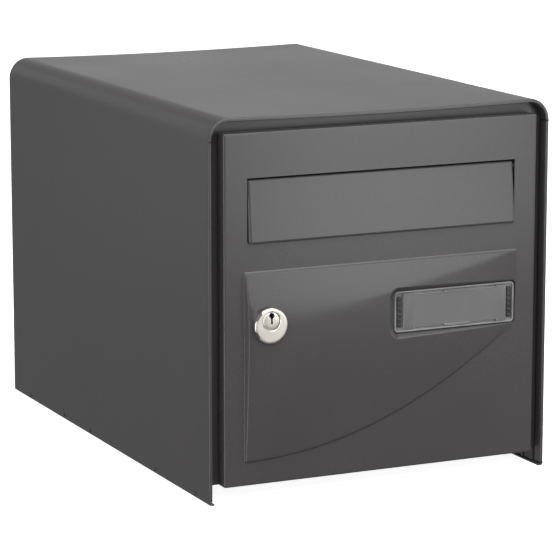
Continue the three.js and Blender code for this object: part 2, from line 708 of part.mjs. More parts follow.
const housing = new THREE.Group();
housing.add(hood(), floorPan(), frontFrame(), backPanel(), hinges);
housing.add(...rivetPlaces().map(hoodRivet));
housing.add(bumpStop('bump_stop_upper', 60), bumpStop('bump_stop_lower', -60));

const group = new THREE.Group();
group.add(housing, door);

export default group;
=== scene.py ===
import math

import bmesh
import bpy
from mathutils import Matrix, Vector


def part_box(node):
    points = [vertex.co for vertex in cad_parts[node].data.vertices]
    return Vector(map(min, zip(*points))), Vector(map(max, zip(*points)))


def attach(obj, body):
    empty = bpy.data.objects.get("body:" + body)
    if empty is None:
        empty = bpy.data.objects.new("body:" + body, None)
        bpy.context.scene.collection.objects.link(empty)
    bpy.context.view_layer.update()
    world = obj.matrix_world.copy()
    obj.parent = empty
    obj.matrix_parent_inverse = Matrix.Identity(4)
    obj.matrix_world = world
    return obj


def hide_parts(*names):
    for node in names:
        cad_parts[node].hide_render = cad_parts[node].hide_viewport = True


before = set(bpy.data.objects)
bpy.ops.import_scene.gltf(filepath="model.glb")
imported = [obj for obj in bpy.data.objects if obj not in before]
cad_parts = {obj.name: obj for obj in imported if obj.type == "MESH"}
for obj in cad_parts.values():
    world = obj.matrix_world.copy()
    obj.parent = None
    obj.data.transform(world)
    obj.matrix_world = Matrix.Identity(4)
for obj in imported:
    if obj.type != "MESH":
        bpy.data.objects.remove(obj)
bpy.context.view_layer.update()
slots = {name: node.material_slots[0].material.name for name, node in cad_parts.items()}

MM = 0.001

# ---------------------------------------------------------------- places and sizes from the frame

hood_low, hood_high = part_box("outer_hood")
door_low, door_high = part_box("door_panel")
flap_low, flap_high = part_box("mail_flap")
frame_low, frame_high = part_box("front_frame")
label_low, label_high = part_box("label_holder")
window_low, window_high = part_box("label_window")
card_low, card_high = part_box("label_card")
rosette_low, rosette_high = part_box("lock_rosette")
plug_low, plug_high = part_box("lock_plug")
pin_low, pin_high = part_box("hinge_pin_upper")

HALF_WIDTH = hood_high.x
TOP = hood_high.z
BOTTOM = hood_low.z
FRONT = hood_low.y
SHEET = 1.2 * MM  # hood, frame, flap
DOOR_SHEET = 1.0 * MM
CLEAR = 0.3 * MM
FLAT_RIM = 0.4 * MM  # a narrow row beside each bend, so that its shading stays off the flat

HOOD_CORNER = 17 * MM
ROOF_BOW = 1.5 * MM
HOOD_LIP = 4.5 * MM
LIP_BEND = 2.0 * MM
HEM_DEPTH = 9 * MM
HEM_THICK = 2.8 * MM
HEM_OUTER_BEND = 1.4 * MM  # half the hem, so that it is round in front
HEM_INNER_BEND = 0.6 * MM
HEM_RELIEF = 1.1 * MM  # the gap in the hem below each roof corner

DOOR_HALF_WIDTH = door_high.x
DOOR_TOP = door_high.z
DOOR_BOTTOM = door_low.z
DOOR_DEPTH = 10.5 * MM
DOOR_FACE = door_high.y - DOOR_DEPTH  # the flat front of the door
DOOR_BEND = 1.6 * MM
HINGE_NOTCH = 32 * MM
HINGE_X = (pin_low.x + pin_high.x) / 2
HINGE_Y = (pin_low.y + pin_high.y) / 2

SLOT_HALF_WIDTH = 114 * MM
SLOT_TOP = 101.2 * MM
SLOT_BOTTOM = 53.2 * MM

FIELD_LEFT = -117 * MM
FIELD_RIGHT = 116 * MM
FIELD_TOP = 30.6 * MM
FIELD_BOTTOM = -116.2 * MM
FIELD_SWEEP = 89.2 * MM  # how far its lower edge climbs on the way to the right
FIELD_SWEEP_POWER = 2.04
FIELD_LIP = 1.0 * MM  # the steep start along its top edge
FIELD_LIP_WIDTH = 2.4 * MM
FIELD_RISE = 4.0 * MM  # the gentle rise below it
FIELD_RISE_WIDTH = 45 * MM
FIELD_CREST = 0.3  # where the field starts to fall again, as a share of the way down
FIELD_FALL_POWER = 1.7
FIELD_FADE_POWER = 2.4  # how late its height fades out towards the right
FIELD_CREASE = 0.15 * MM  # how softly the rise meets the rest
FIELD_STEP = 1.6 * MM  # the small step along its lower curve
FIELD_STEP_WIDTH = 2.4 * MM
FIELD_STEP_FADE_POWER = 6
WALL_SLOPE = 2.6  # the steep wall along the field's left edge
WALL_FOOT = 0.9 * MM  # the hollow bend where it leaves the door
WALL_ROUND = 1.9 * MM  # the round where it meets the field

POCKET_MARGIN = 0.7 * MM
POCKET_DEPTH = 3 * MM
POCKET_CORNER = 3.4 * MM
POCKET_WALL = 0.3 * MM  # how much room the steep wall beside the label takes
POCKET_LEANS = {"left": 0.8, "right": 3.0, "top": 1.3, "bottom": 1.3}  # slopes from there up to the field
FACE_BLEND = 0.4 * MM  # how softly the field and the pocket meet the door

LOCK_X = (rosette_low.x + rosette_high.x) / 2
LOCK_Z = (rosette_low.z + rosette_high.z) / 2
PLUG_Z = LOCK_Z + 3.7 * MM
PLUG_HOLE = 7.3 * MM
LOCK_BORE = 11.3 * MM
BUSH_BORE = 3.3 * MM

OPENING_HALF_WIDTH = 123 * MM
OPENING_BOTTOM = -124 * MM
OPENING_TOP = 125 * MM
OPENING_CORNER = 6 * MM
FRAME_BEND = 1.8 * MM

SHARP_ANGLE = math.radians(32)
DOOR_SHARP_ANGLE = math.radians(40)
NEAR_AXIS = 0.01 * MM  # the smallest ring of a turned shape

COAT_SHADE = (0.0512, 0.0470, 0.0482)

CAMERA_PLACE = (-0.9923, -2.3523, 0.4370)
CAMERA_DOWN = 10.97  # how far it looks down, in degrees
CAMERA_ROUND = 25.13  # how far it stands round to the left, in degrees
CAMERA_LENS = 187.7

WORLD_STRENGTH = 0.295
LIGHT_COLOR = (0.97, 0.987, 1.0)
LIGHTS = (  # name, place, aim, (width, height), watts
    ("overhead", (0.3, -0.9, 2.1), (0.1, -0.4, 0), (2.0, 2.4), 50),
    ("camera_fill", (-1.1, -2.5, 1.5), (0, -0.4, 0), (2.6, 1.2), 45),
    ("front_right", (0.446, -1.28, 0.262), (0.446, 0, 0.262), (0.40, 0.8), 3.2),
    ("left_edge", (-1.65, -1.15, -0.30), (-0.1, -0.43, 0), (0.5, 1.1), 9),
    ("left_rear", (-1.6, 1.3, 0.1), (-0.145, -0.3, 0), (1.4, 1.0), 1.6),
    ("corner", (-1.0, 2.5, 0.95), (-0.13, -0.2, 0.13), (1.0, 1.1), 1.0),
    ("roof_far", (1.7, 3.6, 0.75), (0, -0.2, 0.2), (3.2, 0.9), 3.2),
    ("right", (1.9, -0.7, 0.4), (0.1, -0.3, 0), (1.6, 1.4), 12),
    ("rear", (1.4, 1.6, -0.40), (0.05, 0, -0.05), (2.0, 0.9), 18),
)


# ---------------------------------------------------------------- mesh tools


def finished(name, mesh, body, material, node=None, sharp=SHARP_ANGLE):
    """Closes up the mesh, points its faces outwards and puts it on its body."""
    build = bmesh.new()
    build.from_mesh(mesh)
    bmesh.ops.remove_doubles(build, verts=build.verts, dist=0.002 * MM)
    bmesh.ops.dissolve_degenerate(build, edges=build.edges, dist=0.001 * MM)
    bmesh.ops.recalc_face_normals(build, faces=build.faces)
    build.to_mesh(mesh)
    build.free()
    mesh.polygons.foreach_set("use_smooth", [True] * len(mesh.polygons))
    mesh.set_sharp_from_angle(angle=sharp)
    piece = bpy.data.objects.new(name, mesh)
    bpy.context.scene.collection.objects.link(piece)
    mesh.materials.clear()
    mesh.materials.append(material)
    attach(piece, body)
    if node:
        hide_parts(node)
    return piece


def mesh_of(points, faces):
    mesh = bpy.data.meshes.new("shape")
    mesh.from_pydata([tuple(p) for p in points], [], faces)
    return mesh


def loft(rings, closed=False, capped=False):
    """A skin over rings of equally many points.

    Closed joins the last ring to the first, and capped fills both ends.
    """
    count = len(rings[0])
    points = [point for ring in rings for point in ring]
    faces = []
    spans = len(rings) if closed else len(rings) - 1
    for i in range(spans):
        here = i * count
        there = ((i + 1) % len(rings)) * count
        for j in range(count):
            k = (j + 1) % count
            faces.append((here + j, here + k, there + k, there + j))
    if capped:
        faces.append(tuple(range(count)))
        faces.append(tuple(range(len(points) - count, len(points))))
    return mesh_of(points, faces)


def joined(meshes):
    """One mesh that holds all of the given ones."""
    build = bmesh.new()
    for mesh in meshes:
        build.from_mesh(mesh)
        bpy.data.meshes.remove(mesh)
    whole = bpy.data.meshes.new("shape")
    build.to_mesh(whole)
    build.free()
    return whole


def cut(mesh, cutters):
    """The mesh less the closed cutters, by an exact boolean."""
    scene = bpy.context.scene
    base = bpy.data.objects.new("base", mesh)
    tool = bpy.data.objects.new("tool", joined(cutters))
    for thing in (base, tool):
        scene.collection.objects.link(thing)
        build = bmesh.new()
        build.from_mesh(thing.data)
        bmesh.ops.remove_doubles(build, verts=build.verts, dist=0.002 * MM)
        bmesh.ops.recalc_face_normals(build, faces=build.faces)
        build.to_mesh(thing.data)
        build.free()
    boolean = base.modifiers.new("cut", "BOOLEAN")
    boolean.operation = "DIFFERENCE"
    boolean.solver = "EXACT"
    boolean.object = tool
    bpy.context.view_layer.update()
    evaluated = base.evaluated_get(bpy.context.evaluated_depsgraph_get())
    result = bpy.data.meshes.new_from_object(evaluated)
    bpy.data.objects.remove(base)
    bpy.data.objects.remove(tool)
    return result


def block(low, high):
    """A closed box between two corners, used to cut with."""
    build = bmesh.new()
    bmesh.ops.create_cube(build, size=1)
    for vert in build.verts:
        for axis in range(3):
            middle = (low[axis] + high[axis]) / 2
            vert.co[axis] = middle + vert.co[axis] * (high[axis] - low[axis])
    mesh = bpy.data.meshes.new("shape")
    build.to_mesh(mesh)
    build.free()
    return mesh


def wheel(radius, sides):
    """Points (a, b) of a circle about the origin."""
    turns = (2 * math.pi * i / sides for i in range(sides))
    return [(radius * math.cos(turn), radius * math.sin(turn)) for turn in turns]


def circle(x, z, radius, y, sides=96):
    """A ring about the line through (x, z) along Y."""
    return [(x + a, y, z + b) for a, b in wheel(radius, sides)]


def turned(profile, x, z, sides):
    """A solid turned about the line through (x, z) along Y, from (radius, y) pairs. Its two ends are flat."""
    return loft([circle(x, z, radius, y, sides) for radius, y in profile], capped=True)


def quarter(steps):
    """(cosine, sine) pairs of a quarter turn, from 0 to 90 degrees."""
    turns = [math.pi / 2 * i / steps for i in range(steps + 1)]
    return [(math.cos(turn), math.sin(turn)) for turn in turns]


def arc(x, z, radius, start, end, steps):
    """Points of an arc in x and z, angles in degrees."""
    return [
        (x + radius * math.cos(turn), z + radius * math.sin(turn))
        for turn in (math.radians(start + (end - start) * i / steps) for i in range(steps + 1))
    ]


def rounded_outline(x0, x1, z0, z1, bottom_radius, top_radius, side_steps=1, corner_steps=8):
    """Anticlockwise outline of a box with rounded corners, of as many points whatever its size."""
    b, t = bottom_radius, top_radius
    corners = [
        arc(x1 - b, z0 + b, b, -90, 0, corner_steps),
        arc(x1 - t, z1 - t, t, 0, 90, corner_steps),
        arc(x0 + t, z1 - t, t, 90, 180, corner_steps),
        arc(x0 + b, z0 + b, b, 180, 270, corner_steps),
    ]
    outline = []
    for this, following in zip(corners, corners[1:] + corners[:1]):
        outline += this
        (ax, az), (bx, bz) = this[-1], following[0]
        for i in range(1, side_steps):
            share = i / side_steps
            outline.append((ax + (bx - ax) * share, az + (bz - az) * share))
    return outline


def roof_bow(x, half):
    """How far the roof hangs below its corners at x."""
    return ROOF_BOW * max(0.0, 1 - (x / half) ** 2)


def at_depth(outline, y):
    return [(x, y, z) for x, z in outline]


def ruled(start, *stretches):
    """Values from start on. A stretch is (end, steps), or (end, steps, power) to be closer near its start."""
    values = [start]
    for end, steps, *rest in stretches:
        power = rest[0] if rest else 1
        first = values[-1]
        values += [first + (end - first) * (i / steps) ** power for i in range(1, steps + 1)]
    return values


# ---------------------------------------------------------------- materials


class Nodes:
    """Short names for building a node tree."""

    def __init__(self, name):
        self.material = bpy.data.materials.new(name)
        self.material.use_nodes = True
        self.tree = self.material.node_tree
        self.shader = next(n for n in self.tree.nodes if n.type == "BSDF_PRINCIPLED")
        self.place = self.add("ShaderNodeTexCoord").outputs["Object"]

    def add(self, kind, **settings):
        node = self.tree.nodes.new(kind)
        for key, value in settings.items():
            setattr(node, key, value)
        return node

    def link(self, output, target):
        self.tree.links.new(output, target)

    def noise(self, scale, detail=2.0, stretch=None, roughness=0.5):
        """Noise about 1 / scale metres across. Stretch scales it along x, y and z."""
        texture = self.add("ShaderNodeTexNoise")
        texture.inputs["Scale"].default_value = scale
        texture.inputs["Detail"].default_value = detail
        texture.inputs["Roughness"].default_value = roughness
        place = self.place
        if stretch:
            mapping = self.add("ShaderNodeMapping")
            mapping.inputs["Scale"].default_value = stretch
            self.link(place, mapping.inputs["Vector"])
            place = mapping.outputs["Vector"]
        self.link(place, texture.inputs["Vector"])
        return texture.outputs["Fac"]

    def spread(self, value, low, high, start=0.3, end=0.7):
        """The value carried from start..end to low..high."""
        node = self.add("ShaderNodeMapRange")
        node.inputs["From Min"].default_value = start
        node.inputs["From Max"].default_value = end
        node.inputs["To Min"].default_value = low
        node.inputs["To Max"].default_value = high
        self.link(value, node.inputs["Value"])
        return node.outputs["Result"]

    def combine(self, first, second, operation="ADD"):
        """Two values, each a socket or a number, added or as the operation says."""
        node = self.add("ShaderNodeMath", operation=operation)
        for value, target in ((first, node.inputs[0]), (second, node.inputs[1])):
            if isinstance(value, (int, float)):
                target.default_value = value
            else:
                self.link(value, target)
        return node.outputs["Value"]

    def shades(self, value, dark, light):
        """A colour between dark and light."""
        node = self.add("ShaderNodeMix", data_type="RGBA")
        node.inputs["A"].default_value = (*dark, 1)
        node.inputs["B"].default_value = (*light, 1)
        self.link(value, node.inputs["Factor"])
        return node.outputs["Result"]

    def bump(self, height, distance, normal=None):
        node = self.add("ShaderNodeBump")
        node.inputs["Distance"].default_value = distance
        self.link(height, node.inputs["Height"])
        if normal:
            self.link(normal, node.inputs["Normal"])
        return node.outputs["Normal"]

    def edges(self, start, end):
        """0 on flat places, 1 on sharp outer edges."""
        return self.spread(self.add("ShaderNodeNewGeometry").outputs["Pointiness"], 0, 1, start, end)

    def finish(self, color=None, roughness=None, normal=None, **sockets):
        for target, output in (("Base Color", color), ("Roughness", roughness), ("Normal", normal)):
            if output is not None:
                self.link(output, self.shader.inputs[target])
        for key, value in sockets.items():
            self.shader.inputs[key.replace("_", " ")].default_value = value
        return self.material


def powder_coat(name, shade, gloss):
    """Satin powder coat: a fine orange peel, a slight cloudiness, and edges painted a little lighter, partly
    as rubbed wear and partly as a painted edge highlight.
    """
    n = Nodes(name)
    cloud = n.noise(9, detail=3)
    speckle = n.noise(2600, detail=1)
    peel = n.noise(520, detail=2, roughness=0.45)
    tone = n.combine(n.spread(cloud, 0.25, 0.75), n.spread(speckle, -0.08, 0.08))
    # sharp edges painted lighter: partly rubbed wear, partly a painted edge highlight
    wear_and_edge_highlight = n.combine(tone, n.combine(n.edges(0.53, 0.62), 0.6, "MULTIPLY"))
    dark = tuple(c * 0.93 for c in shade)
    light = tuple(c * 1.09 for c in shade)
    rough = n.combine(n.spread(cloud, gloss - 0.02, gloss + 0.02), n.spread(speckle, -0.015, 0.015))
    fine = n.bump(speckle, 0.006 * MM)
    return n.finish(
        color=n.shades(wear_and_edge_highlight, dark, light),
        roughness=rough,
        normal=n.bump(peel, 0.02 * MM, normal=fine),
        Specular_IOR_Level=0.5,
    )


def zinc_plate(name):
    """Bright zinc on pressed steel: faint crystals, fine drawing lines and a soft grey bloom."""
    n = Nodes(name)
    crystals = n.add("ShaderNodeTexVoronoi", feature="F1")
    crystals.inputs["Scale"].default_value = 340
    n.link(n.place, crystals.inputs["Vector"])
    bloom = n.noise(70, detail=4)
    lines = n.noise(900, detail=3, stretch=(1, 1, 0.06))
    tone = n.combine(n.spread(bloom, 0.2, 0.8), n.spread(crystals.outputs["Distance"], -0.15, 0.15, 0, 0.8))
    # sharp edges painted lighter: partly wear, partly a painted edge highlight
    wear_and_edge_highlight = n.combine(tone, n.edges(0.53, 0.65))
    return n.finish(
        color=n.shades(wear_and_edge_highlight, (0.33, 0.34, 0.35), (0.55, 0.56, 0.57)),
        roughness=n.spread(bloom, 0.32, 0.5),
        normal=n.bump(lines, 0.008 * MM),
        Metallic=1.0,
    )


def satin_nickel(name):
    """Nickel plate brushed in rings about the lock's middle."""
    n = Nodes(name)
    offset = n.add("ShaderNodeVectorMath", operation="SUBTRACT")
    offset.inputs[1].default_value = (LOCK_X, 0, LOCK_Z)
    n.link(n.place, offset.inputs[0])
    flat = n.add("ShaderNodeVectorMath", operation="MULTIPLY")
    flat.inputs[1].default_value = (1, 0, 1)
    n.link(offset.outputs["Vector"], flat.inputs[0])
    radius = n.add("ShaderNodeVectorMath", operation="LENGTH")
    n.link(flat.outputs["Vector"], radius.inputs[0])
    rings = n.add("ShaderNodeTexNoise", noise_dimensions="1D")
    rings.inputs["Scale"].default_value = 3200
    rings.inputs["Detail"].default_value = 3
    n.link(radius.outputs["Value"], rings.inputs["W"])
    cloud = n.noise(160, detail=3)
    tone = n.combine(n.spread(cloud, 0.3, 0.7), n.spread(rings.outputs["Fac"], -0.2, 0.2))
    return n.finish(
        color=n.shades(tone, (0.78, 0.74, 0.67), (0.93, 0.89, 0.82)),
        roughness=n.spread(rings.outputs["Fac"], 0.30, 0.42),
        normal=n.bump(rings.outputs["Fac"], 0.004 * MM),
        Metallic=1.0,
    )


def moulded_plastic(name, dark, light, rough):
    """Moulded nylon: an even spark-eroded grain, with its edges painted a little lighter as a painted shine.
    """
    n = Nodes(name)
    grain = n.noise(2200, detail=2)
    cloud = n.noise(60, detail=2)
    # sharp edges painted lighter: a painted shine, not a gloss effect
    tone = n.combine(n.spread(cloud, 0.1, 0.7), n.combine(n.edges(0.52, 0.62), 0.5, "MULTIPLY"))
    return n.finish(
        color=n.shades(tone, dark, light),
        roughness=n.spread(grain, rough - 0.06, rough + 0.06),
        normal=n.bump(grain, 0.012 * MM),
    )


def black_rubber(name):
    n = Nodes(name)
    grain = n.noise(1500, detail=4, roughness=0.6)
    dust = n.noise(240, detail=3)
    return n.finish(
        color=n.shades(n.spread(dust, 0, 1, 0.45, 0.8), (0.01, 0.01, 0.01), (0.03, 0.029, 0.028)),
        roughness=n.spread(grain, 0.78, 0.95),
        normal=n.bump(grain, 0.03 * MM),
    )


def smoked_plastic(name):
    """Clear plastic with a light smoke tint, seen as a thin sheet."""
    n = Nodes(name)
    haze = n.noise(90, detail=3)
    ripple = n.noise(160, detail=2)
    return n.finish(
        color=n.shades(haze, (0.17, 0.166, 0.168), (0.21, 0.206, 0.208)),
        roughness=n.spread(haze, 0.26, 0.34),
        normal=n.bump(ripple, 0.008 * MM),
        Alpha=0.5,
    )


def grey_card(name):
    n = Nodes(name)
    fibres = n.noise(900, detail=5, stretch=(0.25, 1, 1), roughness=0.65)
    patches = n.noise(40, detail=2)
    tone = n.combine(n.spread(fibres, 0.1, 0.7), n.spread(patches, -0.1, 0.2))
    return n.finish(
        color=n.shades(tone, (0.23, 0.23, 0.23), (0.29, 0.29, 0.288)),
        roughness=n.spread(fibres, 0.72, 0.88),
        normal=n.bump(fibres, 0.01 * MM),
    )


finishes = {
    "hood_coat": powder_coat("hood_coat_look", COAT_SHADE, 0.30),
    "door_coat": powder_coat("door_coat_look", COAT_SHADE, 0.26),
    "zinc_steel": zinc_plate("zinc_steel_look"),
    "nickel": satin_nickel("nickel_look"),
    "black_nylon": moulded_plastic("black_nylon_look", (0.018, 0.018, 0.019), (0.04, 0.04, 0.041), 0.5),
    "black_rubber": black_rubber("black_rubber_look"),
    "smoked_plastic": smoked_plastic("smoked_plastic_look"),
    "grey_card": grey_card("grey_card_look"),
}
label_frame_look = moulded_plastic("label_frame_look", (0.15, 0.148, 0.15), (0.25, 0.248, 0.25), 0.24)


# ---------------------------------------------------------------- hood


def hood_path():
    """Points (x, z) of the hood's outer line with their inward normals, and how much of the hem is there."""
    side_z = BOTTOM + LIP_BEND
    corner_z = TOP - HOOD_CORNER
    roof_half = HALF_WIDTH - HOOD_CORNER
    lip = HALF_WIDTH - HOOD_LIP
    left = [(-lip, BOTTOM, 0, 1, 0)]

    def bend(x, z, radius, start, steps, hem):
        """Adds a quarter turn about (x, z), clockwise from start degrees."""
        for i in range(steps + 1):
            turn = math.radians(start - 90 * i / steps)
            cosine, sine = math.cos(turn), math.sin(turn)
            left.append((x + radius * cosine, z + radius * sine, -cosine, -sine, hem))

    bend(LIP_BEND - HALF_WIDTH, side_z, LIP_BEND, 270, 6, 0)
    relief = corner_z - HEM_RELIEF
    foot = side_z + 1 * MM
    side = ((foot, 0), (foot, 1), (-60 * MM, 1), (40 * MM, 1), (relief, 1), (relief, 0), (corner_z, 0))
    left += [(-HALF_WIDTH, z, 1, 0, hem) for z, hem in side]
    bend(-roof_half, corner_z, HOOD_CORNER, 180, 24, 1)
    steps = 10
    for i in range(1, steps):
        x = -roof_half * (1 - i / steps)
        left.append((x, TOP - roof_bow(x, roof_half), 0, -1, 1))
    right = [(-x, z, -nx, nz, hem) for x, z, nx, nz, hem in reversed(left)]
    return left + [(0, TOP - ROOF_BOW, 0, -1, 1)] + right


def hood_section(hem):
    """(y, inset) pairs round the hood's sheet, with a share of the folded hem at the front."""
    thick = SHEET + (HEM_THICK - SHEET) * hem
    outer = min(HEM_OUTER_BEND, thick / 2)
    inner = min(HEM_INNER_BEND, thick / 2)
    edge = 0.15 * MM
    fold = 0.2 * MM
    between = [FRONT * share for share in (0.35, 0.7)]
    section = [(-edge, 0), *((y, 0) for y in between), (FRONT + outer + FLAT_RIM, 0)]
    section += [(FRONT + outer * (1 - sine), outer * (1 - cosine)) for cosine, sine in quarter(6)]
    section += [(FRONT + inner * (1 - cosine), thick - inner * (1 - sine)) for cosine, sine in quarter(4)]
    section += [
        (FRONT + HEM_DEPTH - fold, thick),
        (FRONT + HEM_DEPTH, thick - fold * hem),
        (FRONT + HEM_DEPTH, SHEET),
        *((y, SHEET) for y in reversed(between)),
        (-edge, SHEET),
        (0, SHEET - edge),
        (0, edge),
    ]
    return section


def make_hood():
    rings = []
    for x, z, nx, nz, hem in hood_path():
        rings.append([(x + nx * inset, y, z + nz * inset) for y, inset in hood_section(hem)])
    finished("hood_shell", loft(rings, capped=True), "housing", finishes["hood_coat"], "outer_hood")


def make_rivet(node):
    """A small clinched rivet with a domed head outside and a flattened tail inside, along X."""
    low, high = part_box(node)
    side = 1 if high.x > 0 else -1
    outer = max(abs(low.x), abs(high.x))
    inner = min(abs(low.x), abs(high.x))
    y, z = (low.y + high.y) / 2, (low.z + high.z) / 2
    head = (high.z - low.z) / 2 * 0.91
    dome = 0.4 * MM
    shank = 1.2 * MM
    profile = [(NEAR_AXIS, outer)]
    profile += [(head * sine, outer - dome * (1 - cosine)) for cosine, sine in quarter(5)[1:]]
    profile += [
        (shank, outer - dome - 0.02 * MM),
        (shank, inner + 0.8 * MM),
        (head * 1.08, inner + 0.75 * MM),
        (head * 1.1, inner + 0.3 * MM),
        (head * 0.8, inner),
        (NEAR_AXIS, inner),
    ]
    rings = [[(side * x, y + a, z + b) for a, b in wheel(radius, 24)] for radius, x in profile]
    name = node.replace("hood_rivet", "rivet")
    finished(name, loft(rings, capped=True), "housing", finishes["hood_coat"], node)


# ---------------------------------------------------------------- front frame


def make_front_frame():
    """The flange behind the door, with its opening rolled back."""
    front = frame_low.y
    back = front + SHEET
    half = frame_high.x
    top = frame_high.z
    bottom = frame_low.z
    corner = HOOD_CORNER - SHEET - CLEAR
    foot_corner = 0.5 * MM
    bowed = top - 2 * MM  # above this the outline follows the roof
    sides, corners = 12, 10

    def outer(inset):
        outline = rounded_outline(
            inset - half, half - inset, bottom + inset, top - inset, foot_corner, corner, sides, corners
        )
        return [(x, z - (roof_bow(x, half - corner) if z > bowed else 0)) for x, z in outline]

    def opening(grow):
        reach, radius = OPENING_HALF_WIDTH + grow, OPENING_CORNER + grow
        low, high = OPENING_BOTTOM - grow, OPENING_TOP + grow
        return rounded_outline(-reach, reach, low, high, radius, radius, sides, corners)

    edge = 0.2 * MM
    inner = FRAME_BEND - SHEET
    rings = [at_depth(outer(0), front + edge), at_depth(outer(edge), front)]
    for cosine, sine in quarter(6):
        rings.append(at_depth(opening(FRAME_BEND * (1 - sine)), front + FRAME_BEND * (1 - cosine)))
    rings += [
        at_depth(opening(0), frame_high.y - edge),
        at_depth(opening(edge), frame_high.y),
        at_depth(opening(SHEET), frame_high.y),
    ]
    for cosine, sine in reversed(quarter(3)):
        rings.append(at_depth(opening(SHEET + inner * (1 - sine)), front + FRAME_BEND - inner * cosine))
    rings += [at_depth(outer(edge), back), at_depth(outer(0), back - edge)]
    finished("frame_flange", loft(rings, closed=True), "housing", finishes["hood_coat"], "front_frame")


# ---------------------------------------------------------------- pressed panels: the door and its flap


def pan(columns, rows_at, face, end_at, bend, sheet, open_cell=None):
    """A pressed tray: a front over a grid of columns and rows, with rolled edges and returns.

    rows_at(x) gives the rows at a column, face(x, z) how far the front stands in y, end_at(x, z, side) where
    the return ends in y, and open_cell(x, z) whether a cell is left out.
    """
    grid = [[(x, z) for z in rows_at(x)] for x in columns]
    across, up = len(columns), len(grid[0])
    points = []
    for depth in (0, sheet):
        points += [(x, face(x, z) + depth, z) for column in grid for x, z in column]
    back = across * up
    kept = set()
    for i in range(across - 1):
        for j in range(up - 1):
            middle_x = (grid[i][j][0] + grid[i + 1][j][0]) / 2
            middle_z = (grid[i][j][1] + grid[i + 1][j + 1][1]) / 2
            if not (open_cell and open_cell(middle_x, middle_z)):
                kept.add((i, j))
    faces = []
    for i, j in sorted(kept):
        a, b, c, d = i * up + j, (i + 1) * up + j, (i + 1) * up + j + 1, i * up + j + 1
        faces.append((a, b, c, d))
        faces.append((back + a, back + d, back + c, back + b))
        sides = (((i, j - 1), a, b), ((i + 1, j), b, c), ((i, j + 1), c, d), ((i - 1, j), d, a))
        for (ni, nj), p, q in sides:
            if 0 <= ni < across - 1 and 0 <= nj < up - 1 and (ni, nj) not in kept:
                faces.append((p, q, back + q, back + p))
    # the border, anticlockwise seen from the front, each point with the way out of the panel there
    border = []
    fan = 4
    walks = (
        ([(i, 0) for i in range(across)], 270, "bottom"),
        ([(across - 1, j) for j in range(up)], 0, "right"),
        ([(i, up - 1) for i in range(across - 1, -1, -1)], 90, "top"),
        ([(0, j) for j in range(up - 1, -1, -1)], 180, "left"),
    )
    for walk, way, side in walks:
        for i, j in walk[:-1]:
            border.append((grid[i][j], way, side))
        i, j = walk[-1]
        border.append((grid[i][j], way, side))
        for step in range(1, fan):
            border.append((grid[i][j], way + 90 * step / fan, side))
    inner = bend - sheet
    edge = 0.15 * MM

    def ring(out, y_at):
        made = []
        for (x, z), way, side in border:
            turn = math.radians(way)
            made.append((x + out * math.cos(turn), y_at(x, z, side), z + out * math.sin(turn)))
        return made

    def bend_ring(out, drop):
        return ring(out, lambda x, z, side: face(x, z) + drop)

    def end_ring(out, short):
        """A ring at the end of the returns, or short of it."""
        return ring(out, lambda x, z, side: max(face(x, z) + bend + edge, end_at(x, z, side)) - short)

    rings = [bend_ring(bend * sine, bend * (1 - cosine)) for cosine, sine in quarter(6)]
    rings += [end_ring(bend, edge), end_ring(bend - edge, 0)]
    rings += [end_ring(inner + edge, 0), end_ring(inner, edge)]
    rings += [bend_ring(inner * sine, bend - inner * cosine) for cosine, sine in quarter(6)[::-2]]
    return joined([mesh_of(points, faces), loft(rings)])


def field_bottom(x):
    """The height of the field's lower edge at x."""
    across = max(0.0, (x - FIELD_LEFT) / (FIELD_RIGHT - FIELD_LEFT))
    return FIELD_BOTTOM + FIELD_SWEEP * across ** FIELD_SWEEP_POWER


def eased(distance, width):
    """0 at the start, 1 from width on, steepest at the start."""
    return 1 - max(0.0, 1 - distance / width) ** 2


def soft_max(a, b, blend):
    """The larger value, rounded over where the two are closer than blend."""
    return max(a, b) + max(blend - abs(a - b), 0.0) ** 2 / (4 * blend)


def soft_min(a, b, blend):
    return -soft_max(-a, -b, blend)


def field_wall(x):
    """The height that the field's steep left wall has reached at x."""
    into = x - FIELD_LEFT
    if into < WALL_FOOT:
        return WALL_SLOPE * into ** 2 / (2 * WALL_FOOT)
    return WALL_SLOPE * (into - WALL_FOOT / 2)


def field_height(x, z):
    """How far the raised field stands in front of the door's flat face."""
    bottom = field_bottom(x)
    if not (FIELD_LEFT < x < FIELD_RIGHT and bottom < z < FIELD_TOP):
        return 0.0
    across = (x - FIELD_LEFT) / (FIELD_RIGHT - FIELD_LEFT)
    down = (FIELD_TOP - z) / (FIELD_TOP - bottom)
    fall = max(0.0, (down - FIELD_CREST) / (1 - FIELD_CREST)) ** FIELD_FALL_POWER
    below = FIELD_TOP - z
    rise = FIELD_LIP * eased(below, FIELD_LIP_WIDTH) + FIELD_RISE * eased(below, FIELD_RISE_WIDTH)
    rest = (FIELD_LIP + FIELD_RISE * (1 - across ** FIELD_FADE_POWER)) * (1 - fall)
    step = FIELD_STEP * eased(z - bottom, FIELD_STEP_WIDTH) * fall * (1 - across ** FIELD_STEP_FADE_POWER)
    height = soft_min(rise, rest + step, FIELD_CREASE)
    return max(0.0, soft_min(height, field_wall(x), WALL_ROUND))


